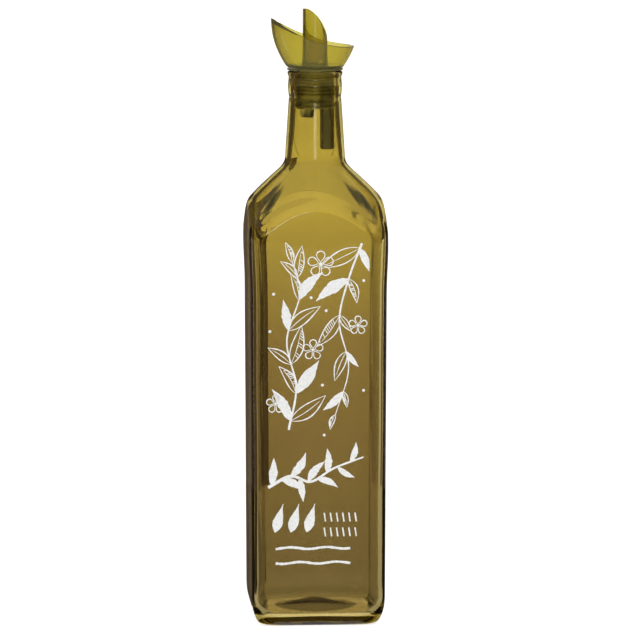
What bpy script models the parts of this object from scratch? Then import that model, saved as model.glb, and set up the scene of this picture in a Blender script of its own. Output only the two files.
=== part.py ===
"""A square glass oil bottle with a plastic pourer in its neck, empty, at its real size.

Run it in Blender 4.5: blender --background --python part.py

Everything is in metres, +Z up. The bottle stands on z = 0 with its axis on the Z axis, and its
front face looks along -Y. The pourer's long lip points along -X.
"""
from math import atan2, cos, pi, radians, sin, sqrt, tau

import bmesh
import bpy
from mathutils import Matrix

MM = 0.001
GAP = 0.3 * MM  # between pieces that rest on each other

# The glass body, a rounded square in plan
BODY_HALF = 37.3 * MM  # half of the width across two faces, under the shoulder
BODY_TAPER = 0.8 * MM  # how much narrower each side is at the heel
SHOULDER_SWELL = 0.6 * MM  # each side's swell just under the shoulder
SWELL_HEIGHT = 204.5 * MM
SWELL_REACH = 26 * MM
BODY_CORNER = 8.7 * MM  # plan radius of the body's corners
FOOT_CORNER = 8.0 * MM  # and of the flat foot's
HEEL_IN = 5.8 * MM  # how far the heel curves in,
HEEL_UP = 15.5 * MM  # and how high it starts
PUNT_RADIUS = 22 * MM
PUNT_HEIGHT = 4.6 * MM

# The shoulder is a dome of revolution that the four faces cut into arches
DOME_TOP = 244.3 * MM  # where the dome would meet the neck
DOME_RADIUS = 18.9 * MM  # its radius there
DOME_SLOPE = 1.15  # radius gained for each length down
DOME_BEND = 6.5  # how fast that slope falls off, per metre
DOME_EDGE = 1.9 * MM  # softening of the arches' edges
NECK_FILLET = 3.6 * MM  # softening where the dome meets the neck

# The neck, a turned form
GLASS_HEIGHT = 296.5 * MM
NECK_RADIUS = 14.2 * MM  # under the lip
NECK_FOOT_RADIUS = 16.55 * MM  # where it runs into the shoulder
NECK_TAPER_TOP = 280.5 * MM
LIP_RADIUS = 14.85 * MM
LIP_ROUND = 1.4 * MM
BEAD_HEIGHT = 287.8 * MM  # the broad bead under the lip
BEAD_OUT = 0.35 * MM
GROOVE_HEIGHT = 282.3 * MM  # and the groove under the bead
GROOVE_IN = 0.35 * MM

# The inside of the glass
WALL = 3.0 * MM
INNER_CORNER = 6.6 * MM
FLOOR = 5.2 * MM
INNER_HEEL_IN = 6.4 * MM
INNER_HEEL_UP = 10 * MM
BORE_RADIUS = 11.1 * MM
BORE_STRAIGHT_TO = 268.5 * MM  # the bore widens below this height
BORE_FLARE = 0.125

# Steps round the glass, for each eighth of a turn
FLAT_STEPS = 3
CORNER_STEPS = 4

# Heights of the glass's rings in millimetres, closest where it curves most
FACE_RINGS = [98, 177, 193, 205]
SHOULDER_RINGS = [208.5, 213.5, 217.5, 221, 224, 226.5, 229, 232.5, 237.5, 242, 244.5, 247.5]
NECK_RINGS = [252.5, 280.5, 282.3, 283.9, 287.8, 292, 293.5]
INNER_RINGS = [268.5, 250.5, 244.5, 241.5, 238.5, 233.5, 227.5, 223.5, 220, 216.5, 212.5, 207.5, 202.5, 98]
PUNT_SHARES = [0.3, 0.6, 0.82, 1]  # rings under the foot, as shares of the punt's radius
FLOOR_SHARES = [0.95, 0.6, 0.3]  # and on the inner floor

# The ribbed plug, pushed into the bore; heights on it run down from its flange's top
FLANGE_RADIUS = 15.1 * MM
FLANGE_THICK = 1.1 * MM
PLUG_RADIUS = 10.1 * MM
PLUG_BORE = 8.2 * MM
RIB_RADIUS = 10.75 * MM
FINE_RIBS = [4.6 * MM + i * 1.75 * MM for i in range(6)]
BROAD_RIBS = [17.3 * MM + i * 2.7 * MM for i in range(2)]
FINE_RIB_HALF = 0.55 * MM
BROAD_RIB_HALF = 1.0 * MM
LUGS_FROM = 21.8 * MM
PLUG_LENGTH = 26.2 * MM
WINDOW_WIDTH = 12 * MM
PLUG_STEPS = 40

# The air tube beside the plug's bore
TUBE_OFFSET = 6.6 * MM
TUBE_RADIUS = 3.9 * MM
TUBE_BORE = 2.5 * MM
TUBE_TOP = 9 * MM  # below the flange's top
TUBE_END = 43.6 * MM
TUBE_STEPS = 24

# The drip cup; heights on it run up from its underside
CUP_BASE_RADIUS = 15.1 * MM
CUP_RIM_RADIUS = 23.6 * MM
CUP_FULL_HEIGHT = 25.5 * MM  # where the bowl's wall would stand upright
CUP_CURVE = 2.1
CUP_WALL = 1.3 * MM
CUP_FLOOR = 1.3 * MM
RIM_LOW = 11.4 * MM  # the rim's height at its low end, on the right,
RIM_LOW_X = 21.2 * MM
RIM_RISE = 7.45  # and how fast it curves up to the left, per metre

# The spout, a tube with a curved slanting cut
SPOUT_BASE_RADIUS = 6.95 * MM
SPOUT_RADIUS = 6.65 * MM
SPOUT_BORE = 5.35 * MM
CUT_X = -5.6 * MM  # the cut follows a quarter of a superellipse with its centre here,
CUT_Z = 14.3 * MM
CUT_REACH = 12.2 * MM  # and these half axes
CUT_RISE = 17.2 * MM
CUT_POWER = 1.7

CUP_STEPS = 56
BOWL_SHARES = [0, 0.1, 0.25, 0.45, 0.7, 1]  # rings on the bowl, as shares of the rim's height

# The arched slot in the spout's foot that lets drips run back
SLOT_ANGLE = radians(-66)
SLOT_WIDTH = 4.6 * MM
SLOT_HEIGHT = 3.0 * MM

PLUG_TOP = GLASS_HEIGHT + GAP + FLANGE_THICK
CUP_BASE = PLUG_TOP + GAP


def soft_max(a, b, reach):
    """The larger of two sizes, rounded off where they differ by less than reach."""
    near = max(reach - abs(a - b), 0) / reach
    return max(a, b) + near * near * reach / 4


def soft_min(a, b, reach):
    return -soft_max(-a, -b, reach)


def hump(distance, reach):
    """1 at no distance, falling smoothly to 0 at reach."""
    return (1 + cos(pi * min(abs(distance) / reach, 1))) / 2


def body_half(z):
    """Half of the body's width at a height, above the heel."""
    share = min(max((z - HEEL_UP) / (SWELL_HEIGHT - HEEL_UP), 0), 1)
    swell = SHOULDER_SWELL * hump(z - SWELL_HEIGHT, SWELL_REACH)
    return BODY_HALF - BODY_TAPER * (1 - share) + swell - SHOULDER_SWELL


def square_radius(angle, half, corner):
    """How far a rounded square reaches from its middle at an angle."""
    turn = angle % (pi / 2)
    turn = min(turn, pi / 2 - turn)
    middle = half - corner
    if half * sin(turn) <= middle * cos(turn):
        return half / cos(turn)
    along = middle * (cos(turn) + sin(turn))
    return along + sqrt(along * along - 2 * middle * middle + corner * corner)


def glass_angles():
    """The angles of the glass's upright edges: few on the flats, more round each corner."""
    middle = BODY_HALF - BODY_CORNER
    corner_start = atan2(middle, BODY_HALF)
    eighth = [corner_start * i / FLAT_STEPS for i in range(FLAT_STEPS)]
    for i in range(CORNER_STEPS):
        turn = pi / 4 * i / CORNER_STEPS
        eighth.append(atan2(middle + BODY_CORNER * sin(turn), middle + BODY_CORNER * cos(turn)))
    quarter = eighth + [pi / 4] + [pi / 2 - a for a in reversed(eighth[1:])]
    return [a + side * pi / 2 for side in range(4) for a in quarter]


def dome_radius(z):
    """The dome's radius, held at its widest below the height where it would turn back in."""
    down = min(DOME_TOP - z, DOME_SLOPE / (2 * DOME_BEND))
    return DOME_RADIUS + DOME_SLOPE * down - DOME_BEND * down * down


def neck_radius(z):
    """The neck's outside below the lip, with its bead and groove."""
    share = min(max((NECK_TAPER_TOP - z) / (NECK_TAPER_TOP - DOME_TOP), 0), 1)
    bead = BEAD_OUT * hump(z - BEAD_HEIGHT, 5 * MM)
    groove = GROOVE_IN * hump(z - GROOVE_HEIGHT, 1.6 * MM)
    return NECK_RADIUS + (NECK_FOOT_RADIUS - NECK_RADIUS) * share + bead - groove


def bore_radius(z):
    return BORE_RADIUS + BORE_FLARE * max(BORE_STRAIGHT_TO - z, 0)


def outer_reach(angle, z):
    """The outside of the glass above the heel."""
    turned = soft_max(neck_radius(z), dome_radius(z), NECK_FILLET)
    return soft_min(turned, square_radius(angle, body_half(z), BODY_CORNER), DOME_EDGE)


def inner_reach(angle, z):
    """The inside of the glass above the inner heel."""
    slant = WALL * sqrt(1 + DOME_SLOPE * DOME_SLOPE)
    turned = soft_max(bore_radius(z), dome_radius(z) - slant, NECK_FILLET)
    return soft_min(turned, square_radius(angle, body_half(z) - WALL, INNER_CORNER), DOME_EDGE)


def turned_ring(radius, z, angles):
    return [(radius * cos(a), radius * sin(a), z) for a in angles]


def square_ring(half, corner, z, angles):
    reach = [square_radius(a, half, corner) for a in angles]
    return [(r * cos(a), r * sin(a), z) for a, r in zip(angles, reach)]


def reach_ring(reach, z, angles):
    return [(reach(a, z) * cos(a), reach(a, z) * sin(a), z) for a in angles]


def between(low, high, steps):
    """Evenly spaced heights from low to high, both included."""
    return [low + (high - low) * i / steps for i in range(steps + 1)]


def punt_ring(share, lowest, angles):
    """A ring on the raised middle of the foot or the floor."""
    radius = PUNT_RADIUS * share
    return turned_ring(radius, lowest + PUNT_HEIGHT * hump(radius, PUNT_RADIUS), angles)


def glass_rings():
    """The glass's outline rings from the punt's middle over the lip to the inner floor's middle."""
    angles = glass_angles()
    rings = [punt_ring(share, 0, angles) for share in PUNT_SHARES]

    # The heel
    for turn in between(0, pi / 2, 5):
        half = body_half(HEEL_UP) - HEEL_IN * (1 - sin(turn))
        corner = FOOT_CORNER + (BODY_CORNER - FOOT_CORNER) * sin(turn)
        rings.append(square_ring(half, corner, HEEL_UP * (1 - cos(turn)), angles))

    # Faces, shoulder and neck
    for height in FACE_RINGS + SHOULDER_RINGS + NECK_RINGS:
        rings.append(reach_ring(outer_reach, height * MM, angles))

    # The lip
    lip_middle = GLASS_HEIGHT - LIP_ROUND
    for turn in between(-pi / 6, pi / 2, 3):
        radius = LIP_RADIUS - LIP_ROUND * (1 - cos(turn))
        rings.append(turned_ring(radius, lip_middle + LIP_ROUND * sin(turn), angles))
    rings.append(turned_ring(BORE_RADIUS + LIP_ROUND * 0.6, GLASS_HEIGHT, angles))
    rings.append(turned_ring(BORE_RADIUS, GLASS_HEIGHT - LIP_ROUND * 0.6, angles))

    # Bore, inner shoulder and inner faces
    for height in INNER_RINGS:
        rings.append(reach_ring(inner_reach, height * MM, angles))

    # The inner heel and floor
    for turn in between(pi / 2, 0, 4):
        height = FLOOR + INNER_HEEL_UP * (1 - cos(turn))
        half = body_half(HEEL_UP) - WALL - INNER_HEEL_IN * (1 - sin(turn))
        rings.append(square_ring(half, INNER_CORNER, height, angles))
    return rings + [punt_ring(share, FLOOR, angles) for share in FLOOR_SHARES]


def ring_faces(mesh, rings, closed):
    """Quads between each ring and the next, and from the last to the first if closed."""
    pairs = list(zip(rings, rings[1:]))
    if closed:
        pairs.append((rings[-1], rings[0]))
    for lower, upper in pairs:
        for i in range(len(lower)):
            after = (i + 1) % len(lower)
            mesh.faces.new((lower[i], lower[after], upper[after], upper[i]))


def fan(mesh, middle, ring, turned_over):
    """A middle point joined to a ring."""
    for i in range(len(ring)):
        after = (i + 1) % len(ring)
        corners = (middle, ring[after], ring[i])
        mesh.faces.new(tuple(reversed(corners)) if turned_over else corners)


def face_outwards(mesh):
    """Turns a closed bmesh's faces outwards, all alike."""
    bmesh.ops.recalc_face_normals(mesh, faces=mesh.faces)
    if mesh.calc_volume(signed=True) < 0:
        bmesh.ops.reverse_faces(mesh, faces=mesh.faces)


def add_object(name, mesh, material):
    """Puts a bmesh into the scene as a smooth-shaded object."""
    face_outwards(mesh)
    data = bpy.data.meshes.new(name)
    mesh.to_mesh(data)
    mesh.free()
    data.materials.append(material)
    data.shade_smooth()
    data.set_sharp_from_angle(angle=radians(38))
    made = bpy.data.objects.new(name, data)
    bpy.context.scene.collection.objects.link(made)
    return made


def plastic_or_glass(name, colour, roughness, transmission):
    material = bpy.data.materials.new(name)
    material.use_nodes = True
    shader = material.node_tree.nodes["Principled BSDF"]
    shader.inputs["Base Color"].default_value = (*colour, 1)
    shader.inputs["Roughness"].default_value = roughness
    shader.inputs["Metallic"].default_value = 0
    shader.inputs["IOR"].default_value = 1.5
    shader.inputs["Transmission Weight"].default_value = transmission
    return material


def turned_loop(outline, steps):
    """A bmesh turned from a closed outline of (radius, height) points round the Z axis."""
    mesh = bmesh.new()
    angles = [tau * i / steps for i in range(steps)]
    rings = []
    for radius, height in outline:
        rings.append([mesh.verts.new(p) for p in turned_ring(radius, height, angles)])
    ring_faces(mesh, rings, closed=True)
    return mesh


def make_glass():
    mesh = bmesh.new()
    rings = [[mesh.verts.new(p) for p in ring] for ring in glass_rings()]
    ring_faces(mesh, rings, closed=False)
    under = mesh.verts.new((0, 0, PUNT_HEIGHT))
    floor = mesh.verts.new((0, 0, FLOOR + PUNT_HEIGHT))
    fan(mesh, under, rings[0], turned_over=False)
    fan(mesh, floor, rings[-1], turned_over=True)
    glass = plastic_or_glass("olive glass", (0.30, 0.26, 0.035), 0.03, 0.95)
    return add_object("bottle", mesh, glass)


def cup_radius(height):
    """The outside of the drip cup."""
    share = max(1 - height / CUP_FULL_HEIGHT, 0)
    return CUP_RIM_RADIUS - (CUP_RIM_RADIUS - CUP_BASE_RADIUS) * share**CUP_CURVE


def rim_height(x):
    return RIM_LOW + RIM_RISE * (RIM_LOW_X - x) ** 2


def rim_at(angle, wall):
    """The cup rim's height at an angle, where the curved cut meets the wall."""
    height = RIM_LOW
    for _ in range(40):
        height = (height + rim_height((cup_radius(height) - wall) * cos(angle))) / 2
    return height


def cut_height(x):
    """The spout's slanting cut."""
    share = min(max((x - CUT_X) / CUT_REACH, 0), 1)
    return CUT_Z + CUT_RISE * (1 - share**CUT_POWER) ** (1 / CUT_POWER)


def cup_ring(heights, wall, angles):
    """A ring on the bowl, as far in from its outside as wall, with a height for each angle."""
    reach = [cup_radius(height) - wall for height in heights]
    return [(r * cos(a), r * sin(a), CUP_BASE + h) for a, r, h in zip(angles, reach, heights)]


def cut_ring(radius, angles):
    """A ring along the spout's cut."""
    xs = [radius * cos(a) for a in angles]
    return [(x, radius * sin(a), CUP_BASE + cut_height(x)) for a, x in zip(angles, xs)]


def cup_rings():
    """Round the wall of the cup and its spout, from the underside out, over the rim and down."""
    angles = [tau * i / CUP_STEPS for i in range(CUP_STEPS)]
    rings = [turned_ring(SPOUT_BORE, CUP_BASE, angles)]

    # Up the outside of the bowl and down its inside
    outer_rim = [rim_at(a, 0) for a in angles]
    inner_rim = [rim_at(a, CUP_WALL) for a in angles]
    for share in BOWL_SHARES:
        rings.append(cup_ring([share * rim for rim in outer_rim], 0, angles))
    for share in reversed(BOWL_SHARES):
        heights = [CUP_FLOOR + share * (rim - CUP_FLOOR) for rim in inner_rim]
        rings.append(cup_ring(heights, CUP_WALL, angles))

    # Up the spout, over its cut and down its bore
    waist = CUP_BASE + 0.7 * cut_height(SPOUT_RADIUS)
    rings.append(turned_ring(SPOUT_BASE_RADIUS, CUP_BASE + CUP_FLOOR, angles))
    rings.append(turned_ring(SPOUT_RADIUS, waist, angles))
    rings.append(cut_ring(SPOUT_RADIUS, angles))
    rings.append(cut_ring(SPOUT_BORE, angles))
    rings.append(turned_ring(SPOUT_BORE, waist, angles))
    return rings


def make_slot_cutter():
    """An arch that passes through the spout's wall just above the cup's floor."""
    spring = SLOT_HEIGHT - SLOT_WIDTH / 2
    arch = [(-SLOT_WIDTH / 2, 0), (SLOT_WIDTH / 2, 0)]
    for turn in between(0, pi, 8):
        arch.append((SLOT_WIDTH / 2 * cos(turn), spring + SLOT_WIDTH / 2 * sin(turn)))
    near = SPOUT_BORE * 0.6
    far = SPOUT_BASE_RADIUS + 1.5 * MM
    mesh = bmesh.new()
    ends = []
    for distance in (near, far):
        ends.append([mesh.verts.new((distance, y, z)) for y, z in arch])
    ring_faces(mesh, ends, closed=False)
    mesh.faces.new(reversed(ends[0]))
    mesh.faces.new(ends[1])
    turn = Matrix.Rotation(SLOT_ANGLE, 4, "Z")
    lift = Matrix.Translation((0, 0, CUP_BASE + CUP_FLOOR))
    bmesh.ops.transform(mesh, matrix=lift @ turn, verts=mesh.verts)
    return add_cutter("slot_cutter", mesh)


def add_cutter(name, mesh):
    """A cutter is only a tool for the solids: it isn't rendered and shows as wires."""
    face_outwards(mesh)
    data = bpy.data.meshes.new(name)
    mesh.to_mesh(data)
    mesh.free()
    cutter = bpy.data.objects.new(name, data)
    cutter.hide_render = True
    cutter.display_type = "WIRE"
    bpy.context.scene.collection.objects.link(cutter)
    return cutter


def cut_or_join(made, other, operation):
    change = made.modifiers.new(other.name, "BOOLEAN")
    change.operation = operation
    change.object = other


def make_cup(plastic):
    mesh = bmesh.new()
    rings = [[mesh.verts.new(p) for p in ring] for ring in cup_rings()]
    ring_faces(mesh, rings, closed=True)
    cup = add_object("pourer_cup", mesh, plastic)
    cut_or_join(cup, make_slot_cutter(), "DIFFERENCE")
    return cup


def ribbed_side():
    """The plug's outside as (radius, depth) points, with a rounded ridge for each rib."""
    side = []
    ribs = [(d, FINE_RIB_HALF) for d in FINE_RIBS] + [(d, BROAD_RIB_HALF) for d in BROAD_RIBS]
    for depth, half in ribs:
        side.append((PLUG_RADIUS, depth - half))
        side.append((RIB_RADIUS, depth - half / 3))
        side.append((RIB_RADIUS, depth + half / 3))
        side.append((PLUG_RADIUS, depth + half))
    return side


def make_tube():
    """The air tube, a straight pipe with a rounded lower end."""
    end = -TUBE_END
    outline = [
        (TUBE_BORE, -TUBE_TOP),
        (TUBE_BORE, end),
        (TUBE_RADIUS - 0.8 * MM, end),
        (TUBE_RADIUS - 0.25 * MM, end + 0.35 * MM),
        (TUBE_RADIUS, end + 1.2 * MM),
        (TUBE_RADIUS, -TUBE_TOP),
    ]
    mesh = turned_loop(outline, TUBE_STEPS)
    place = Matrix.Translation((TUBE_OFFSET, 0, PLUG_TOP))
    bmesh.ops.transform(mesh, matrix=place, verts=mesh.verts)
    return add_cutter("air_tube", mesh)


def make_window_cutter(number):
    """A block that opens the plug's lower end between two lugs."""
    mesh = bmesh.new()
    near = TUBE_OFFSET * 0.8
    far = RIB_RADIUS + 1 * MM
    low = PLUG_LENGTH + 1 * MM
    size = (far - near, WINDOW_WIDTH, low - LUGS_FROM)
    middle = ((near + far) / 2, 0, PLUG_TOP - (low + LUGS_FROM) / 2)
    turn = Matrix.Rotation(radians(60 + 120 * number), 4, "Z")
    grow = Matrix.Diagonal((*size, 1))
    place = turn @ Matrix.Translation(middle) @ grow
    bmesh.ops.create_cube(mesh, size=1, matrix=place)
    return add_cutter(f"window_cutter_{number}", mesh)


def make_plug(plastic):
    outline = [(PLUG_BORE, 0), (FLANGE_RADIUS, 0), (FLANGE_RADIUS, -FLANGE_THICK)]
    outline.append((PLUG_RADIUS, -FLANGE_THICK))
    outline += [(radius, -depth) for radius, depth in ribbed_side()]
    outline.append((PLUG_RADIUS - 0.2 * MM, -PLUG_LENGTH + 1 * MM))
    outline.append((PLUG_RADIUS - 1 * MM, -PLUG_LENGTH))
    outline.append((PLUG_BORE, -PLUG_LENGTH))
    mesh = turned_loop([(radius, PLUG_TOP + height) for radius, height in outline], PLUG_STEPS)
    plug = add_object("pourer_plug", mesh, plastic)
    for number in range(3):
        cut_or_join(plug, make_window_cutter(number), "DIFFERENCE")
    cut_or_join(plug, make_tube(), "UNION")
    return plug


def main():
    for old in list(bpy.data.objects):
        bpy.data.objects.remove(old)
    make_glass()
    plastic = plastic_or_glass("yellow-green plastic", (0.50, 0.44, 0.04), 0.25, 0.5)
    make_cup(plastic)
    make_plug(plastic)


main()
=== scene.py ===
"""A square olive glass oil bottle with a plastic pourer, dressed for its portrait.

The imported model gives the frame. Every piece here keeps to its sizes: the glass, the drip cup and
the plug take the place of its plainer solids, and a white print goes on the front face.
All lengths are in metres, +Z up, and the front face looks along -Y.
"""
from math import atan2, cos, pi, radians, sin, sqrt, tau
from random import Random

import bmesh
import bpy
from bpy.props import FloatProperty, FloatVectorProperty, PointerProperty
from mathutils import Matrix, Vector


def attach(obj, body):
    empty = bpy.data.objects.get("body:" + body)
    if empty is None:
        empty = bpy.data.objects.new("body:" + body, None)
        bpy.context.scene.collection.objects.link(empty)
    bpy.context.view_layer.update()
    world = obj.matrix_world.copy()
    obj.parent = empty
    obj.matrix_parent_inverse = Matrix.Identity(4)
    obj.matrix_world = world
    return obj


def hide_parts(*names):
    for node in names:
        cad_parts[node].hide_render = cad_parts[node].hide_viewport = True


bl_info = {
    "name": "Oil bottle",
    "version": (1, 0, 0),
    "blender": (4, 5, 0),
    "location": "3D View > Sidebar > Oil bottle",
    "description": "Glass, pourer and print of a square oil bottle, and a plain studio for it",
    "category": "Object",
}

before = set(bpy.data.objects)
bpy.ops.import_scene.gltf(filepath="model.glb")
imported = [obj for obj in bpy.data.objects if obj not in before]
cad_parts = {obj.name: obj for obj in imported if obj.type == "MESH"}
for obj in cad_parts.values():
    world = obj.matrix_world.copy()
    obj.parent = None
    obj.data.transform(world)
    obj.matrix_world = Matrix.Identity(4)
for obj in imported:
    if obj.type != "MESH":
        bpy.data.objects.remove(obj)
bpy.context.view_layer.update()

MM = 0.001
GAP = 0.3 * MM


def length(name, description, millimetres):
    """A property that holds a length."""
    return FloatProperty(
        name=name, description=description, default=millimetres * MM, unit="LENGTH", precision=5
    )


def share(name, description, default, low=0.0, high=1.0):
    """A property that holds a plain number, or a share of 1."""
    kind = "FACTOR" if high == 1 else "NONE"
    return FloatProperty(name=name, description=description, default=default, min=low, max=high, subtype=kind)


def bearing(name, description, degrees):
    """A property that holds an angle."""
    return FloatProperty(name=name, description=description, default=radians(degrees), subtype="ANGLE")


def colour(name, description, default):
    """A property that holds a colour."""
    return FloatVectorProperty(
        name=name, description=description, default=default, size=3, subtype="COLOR", min=0, max=1
    )


class BottleForm(bpy.types.PropertyGroup):
    """Sizes and colours of the glass"""

    half: length("Half width", "Half of the width across two faces, under the shoulder", 37.27)
    taper: length("Taper", "How much narrower each side is at the heel", 0.8)
    swell: length("Shoulder swell", "Each side's swell just under the shoulder", 0.6)
    swell_height: length("Swell height", "Where that swell is widest", 204.5)
    swell_reach: length("Swell reach", "How far the swell runs up and down from there", 26)
    corner: length("Corner", "Plan radius of the body's corners", 8.7)
    foot_corner: length("Foot corner", "Plan radius of the flat foot's corners", 8.0)
    heel_in: length("Heel in", "How far the heel curves in", 5.8)
    heel_up: length("Heel up", "How high the heel's curve starts", 15.5)
    punt_radius: length("Punt radius", "Radius of the raised middle under the foot", 22)
    punt_height: length("Punt height", "Rise of that middle", 4.6)
    dome_top: length("Dome top", "Where the shoulder's dome would meet the neck", 244.3)
    dome_radius: length("Dome radius", "The dome's radius there", 18.9)
    dome_slope: share("Dome slope", "Radius gained for each length down", 1.15, 0.5, 2)
    dome_bend: share("Dome bend", "How fast that slope falls off, per metre", 6.5, 0, 20)
    dome_edge: length("Arch softening", "Softening of the arches that the faces cut", 3)
    neck_fillet: length("Neck fillet", "Softening where the dome meets the neck", 3.6)
    height: length("Glass height", "Height of the glass with its lip", 296.5)
    neck: length("Neck radius", "Radius of the neck under the lip", 14.2)
    neck_foot: length("Neck foot", "Radius where the neck runs into the shoulder", 16.55)
    neck_taper_top: length("Neck taper top", "Where the neck starts to widen", 280.5)
    lip: length("Lip radius", "Radius of the lip", 14.85)
    lip_round: length("Lip rounding", "Rounding of the lip's edge", 1.4)
    bead_height: length("Bead height", "Height of the broad bead under the lip", 287.8)
    bead_out: length("Bead", "How far the bead stands out", 0.35)
    bead_reach: length("Bead reach", "How far the bead runs up and down", 5)
    groove_height: length("Groove height", "Height of the groove under the bead", 282.3)
    groove_in: length("Groove", "Depth of the groove", 0.35)
    groove_reach: length("Groove reach", "How far the groove runs up and down", 1.6)
    wall: length("Wall", "Thickness of the body's walls", 3)
    inner_corner: length("Inner corner", "Plan radius of the inside's corners", 6.6)
    floor: length("Floor", "Thickness of the glass under the inside", 5.2)
    inner_heel_in: length("Inner heel in", "How far the inside's heel curves in", 6.4)
    inner_heel_up: length("Inner heel up", "How high the inside's heel curve starts above the floor", 10)
    bore: length("Bore radius", "Radius of the straight bore in the neck", 11.1)
    bore_straight_to: length("Bore straight to", "The bore widens below this height", 268.5)
    bore_bend: length("Bore bend", "Length over which the bore starts to widen", 22)
    bore_flare: share("Bore flare", "How fast the bore widens", 0.125)
    flow: length("Inner waves", "Height of the uneven inner surface's slow waves", 0.12)
    thicker: length("Thicker corners", "How much thicker the walls are towards the corners", 0.6)
    even_above: length("Even above", "The walls are even and smooth above this height", 226)
    even_fade: length("Even fade", "Length over which the walls turn uneven", 30)
    tint: colour("Tint", "Colour that the glass keeps of the light in it", (0.80, 0.775, 0.62))
    depth: share("Tint strength", "How strongly a metre of the glass absorbs", 250, 0, 5000)
    # These tints by height are painted light and shade: lighter over the neck, shoulder and foot, darker low
    # on the body and at the heel.
    crown_shading: colour("Crown colour", "Tint over the neck and shoulder", (0.725, 0.63, 0.255))
    upper_shading: colour("Upper colour", "Tint under the shoulder", (0.70, 0.60, 0.26))
    middle_shading: colour("Middle colour", "Tint half way down the body", (0.537, 0.4415, 0.232))
    lower_shading: colour("Lower colour", "Tint low on the body", (0.49, 0.40, 0.223))
    heel_shading: colour("Heel colour", "Tint down at the heel", (0.432, 0.362, 0.21))
    curve_shading: colour("Curve colour", "Tint over the heel's curve", (0.50, 0.425, 0.26))
    foot_shading: colour("Foot colour", "Tint at the foot", (0.75, 0.66, 0.41))
    # Painted shade: the corner streaks darken the shoulder's thick corners, standing in for their dark
    # refraction.
    streak: share("Corner streaks", "How much darker the shoulder's thick corners are", 1)
    streak_shade_colour: colour("Streak colour", "Tint in the middle of a corner streak", (0.05, 0.05, 0.03))
    streak_down: length("Streak height", "How far the streaks' middles lie under the dome's top", 17)
    streak_wide: length("Streak width", "Half width of a streak", 3.4)
    streak_long: length("Streak length", "Half height of a streak", 8.5)


class PourerForm(bpy.types.PropertyGroup):
    """Sizes and colours of the plastic pourer"""

    flange: length("Flange radius", "Radius of the plug's flange", 15.1)
    flange_thick: length("Flange thickness", "Thickness of the plug's flange", 1.1)
    plug: length("Plug radius", "Radius of the plug between its ribs", 10.1)
    plug_bore: length("Plug bore", "Radius of the plug's bore", 8.2)
    rib: length("Rib radius", "Radius over the plug's ribs", 10.75)
    plug_length: length("Plug length", "Length of the plug under its flange's top", 26.2)
    lugs_from: length("Lugs from", "Depth where the plug splits into lugs", 21.8)
    window: length("Window width", "Width of the windows between the lugs", 12)
    tube_offset: length("Tube offset", "How far the air tube stands off the axis", 6.6)
    tube: length("Tube radius", "Radius of the air tube", 3.9)
    tube_bore: length("Tube bore", "Radius of the air tube's bore", 2.5)
    tube_top: length("Tube top", "Depth of the air tube's upper end", 9)
    tube_end: length("Tube end", "Depth of the air tube's lower end", 43.6)
    cup_base: length("Cup base radius", "Radius of the drip cup's underside", 15.1)
    cup_rim: length("Cup rim radius", "Radius where the bowl's wall would stand upright", 23.6)
    cup_full: length("Cup full height", "Height where the bowl's wall would stand upright", 25.5)
    cup_curve: share("Cup curve", "How round the bowl is", 2.1, 1, 4)
    cup_wall: length("Cup wall", "Thickness of the bowl's wall and floor", 1.3)
    rim_low: length("Rim's low end", "Height of the rim on the right", 11.4)
    rim_low_x: length("Rim's low end, across", "Where the rim's curve is lowest", 21.2)
    rim_rise: share("Rim rise", "How fast the rim curves up to the left, per metre", 7.45, 0, 20)
    spout_base: length("Spout base radius", "Radius of the spout at the cup's floor", 6.95)
    spout: length("Spout radius", "Radius of the spout higher up", 6.65)
    spout_bore: length("Spout bore", "Radius of the spout's bore", 5.35)
    cut_x: length("Cut centre, across", "Centre of the spout's slanting cut", -5.6)
    cut_z: length("Cut centre, up", "Height of that centre above the cup's underside", 14.3)
    cut_reach: length("Cut reach", "Half axis of the cut across", 12.2)
    cut_rise: length("Cut rise", "Half axis of the cut upwards", 17.2)
    cut_power: share("Cut power", "How full the cut's curve is", 1.7, 1, 4)
    slot_angle: bearing("Slot angle", "Where the arched slot stands round the spout", -66)
    slot_width: length("Slot width", "Width of the arched slot", 4.6)
    slot_height: length("Slot height", "Height of the arched slot", 3.0)
    tint: colour("Tint", "Colour that the plastic keeps of the light in it", (0.84, 0.80, 0.5))
    depth: share("Tint strength", "How strongly a metre of the plastic absorbs", 1500, 0, 9000)
    cup_body: colour("Cup colour", "Colour that the cup's walls pass", (0.90, 0.86, 0.33))
    plug_body: colour("Plug colour", "Colour that the plug's walls pass", (0.94, 0.95, 0.95))
    # The rib and flange colours are painted shade: darker bands where the ribs and the flange look dark.
    rib_shade: colour("Rib colour", "Colour that the plug's ribs pass", (0.45, 0.48, 0.50))
    flange_shade: colour("Flange colour", "Colour that the plug's flange passes", (0.50, 0.44, 0.14))
    tube_body: colour("Tube colour", "Colour that the air tube's walls pass", (0.52, 0.56, 0.80))
    plug_tint: colour("Plug tint", "Colour that the plug keeps of the light in it", (0.82, 0.85, 0.75))
    plug_depth: share("Plug's tint strength", "How strongly a metre of the plug absorbs", 300, 0, 9000)
    milk: share("Milkiness", "Share of the light that the cup scatters", 0.08)
    plug_milk: share("Plug's milkiness", "Share of the light that the plug scatters", 0.2)


class PrintForm(bpy.types.PropertyGroup):
    """Sizes and colour of the white print"""

    proud: length("Proud", "How far the ink stands off the glass", 0.01)
    thick: length("Thickness", "Thickness of the ink", 0.015)
    aside: length("Aside", "How far the print stands right of the face's middle", -1.5)
    fine: length("Fine stroke", "Width of the fine strokes", 0.5)
    bold: length("Bold stroke", "Width of the bold strokes", 3.6)
    ink: colour("Ink", "Colour of the ink", (0.95, 0.95, 0.93))


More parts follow.
